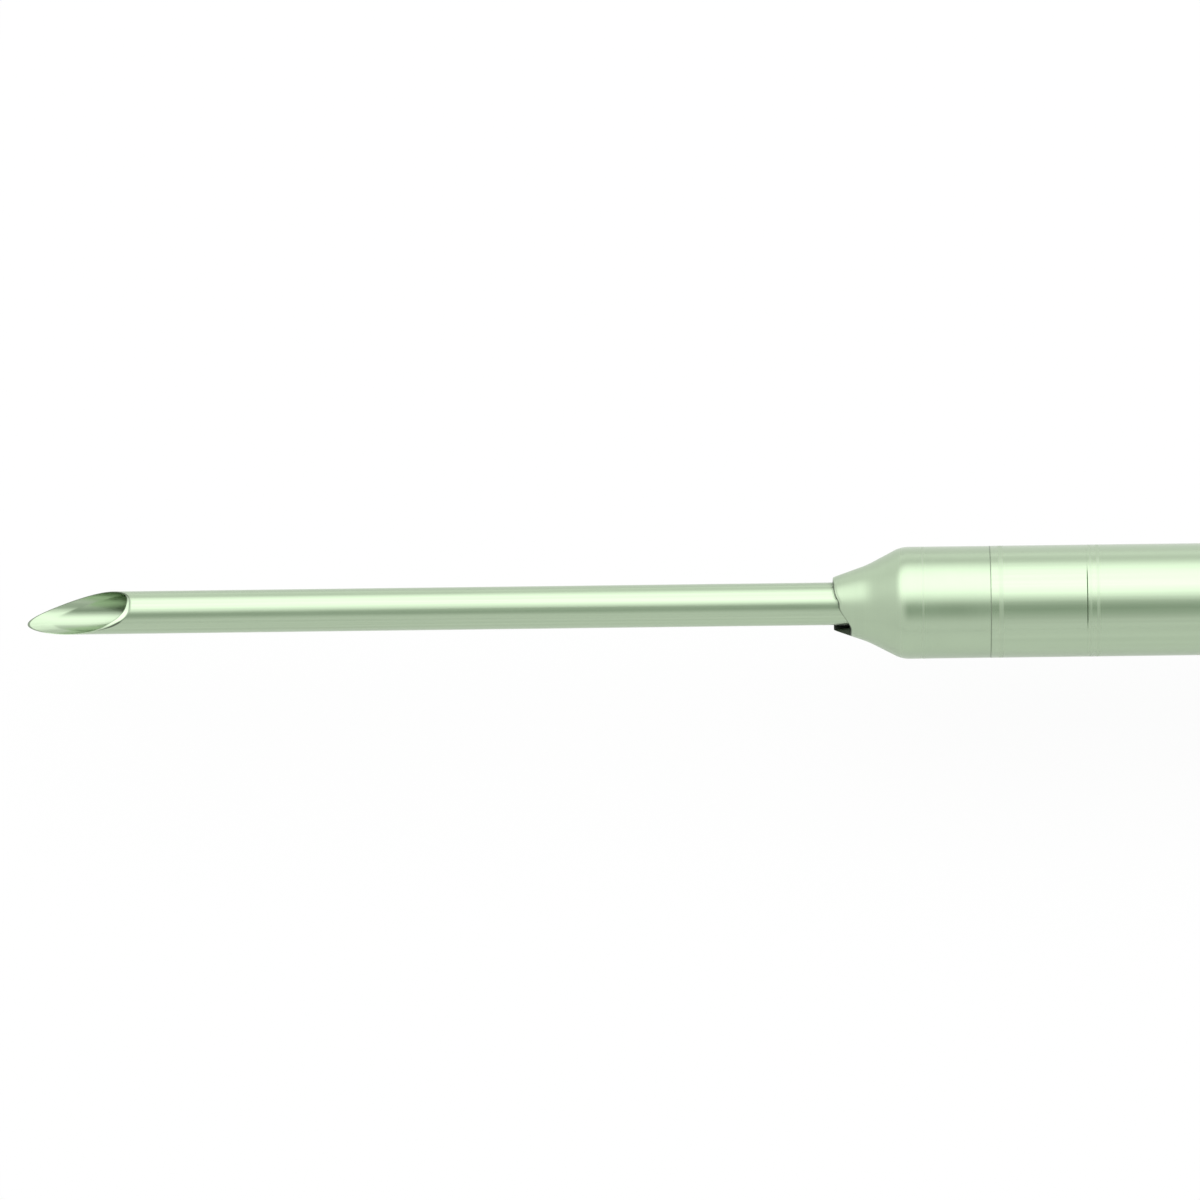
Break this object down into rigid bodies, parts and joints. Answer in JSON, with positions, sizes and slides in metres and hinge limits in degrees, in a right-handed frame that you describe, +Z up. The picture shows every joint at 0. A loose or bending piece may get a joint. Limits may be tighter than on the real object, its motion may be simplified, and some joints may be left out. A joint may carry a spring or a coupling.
{
  "type": "laparoscopic aspiration needle",
  "caption": "Straight laparoscopic aspiration needle: bevelled hollow needle sliding in a tapered steel sheath, handle with lock nut, stopcock and Luer lock connector.",
  "frame": {"origin": "on the shaft's axis, where the 5 mm sheath leaves the handle's front face", "axes": "+X runs along the shaft from the needle's point to the Luer connector, +Z is up: the bevel, the guide pin and the stopcock's lever face up"},
  "size_m": [0.4472, 0.034, 0.017],
  "materials": {
    "needle_steel": "polished steel",
    "sheath_steel": "satin steel with fine lengthwise drawing marks",
    "nose_steel": "polished steel",
    "handle_steel": "satin steel",
    "grip_steel": "bead-blasted steel",
    "tap_steel": "plated, polished",
    "fluoropolymer": "translucent white",
    "silicone": "matte",
    "nitrile": "matte"
  },
  "bodies": {
    "sheath": {"outer_tube": "sheath_steel", "nose_cone": "nose_steel", "needle_guide": "fluoropolymer", "shaft_collar": "handle_steel", "collar_o_ring": "nitrile", "shaft_nut": "grip_steel", "handle_barrel": "handle_steel", "finger_flange": "handle_steel", "gland_seal": "silicone", "gland_washer": "fluoropolymer"},
    "lock_nut": {"lock_nut": "grip_steel"},
    "needle": {"needle_cannula": "needle_steel", "needle_ferrule": "handle_steel", "inner_tube": "sheath_steel", "glide_ring_front": "fluoropolymer", "glide_ring_middle": "fluoropolymer", "glide_ring_rear": "fluoropolymer", "travel_stop": "handle_steel", "guide_pin": "tap_steel", "hub_sleeve": "handle_steel", "thumb_disc": "grip_steel", "stopcock_body": "tap_steel", "stop_pin": "tap_steel", "luer_washer": "fluoropolymer", "luer_connector": "tap_steel"},
    "tap": {"stopcock_plug": "tap_steel", "stopcock_lever": "tap_steel", "plug_washer": "handle_steel", "plug_nut": "tap_steel"}
  },
  "joints": [
    {"name": "needle_slide", "type": "slide", "parent": "sheath", "child": "needle", "axis": [1, 0, 0], "range_m": [0, 0.038]},
    {"name": "lock_nut_turn", "type": "hinge", "parent": "sheath", "child": "lock_nut", "pos_m": [0.066, 0, 0], "axis": [1, 0, 0], "range_deg": [0, 180]},
    {"name": "stopcock_turn", "type": "hinge", "parent": "needle", "child": "tap", "pos_m": [0.0932, 0, 0], "axis": [0, 0, 1], "range_deg": [0, 90]}
  ]
}
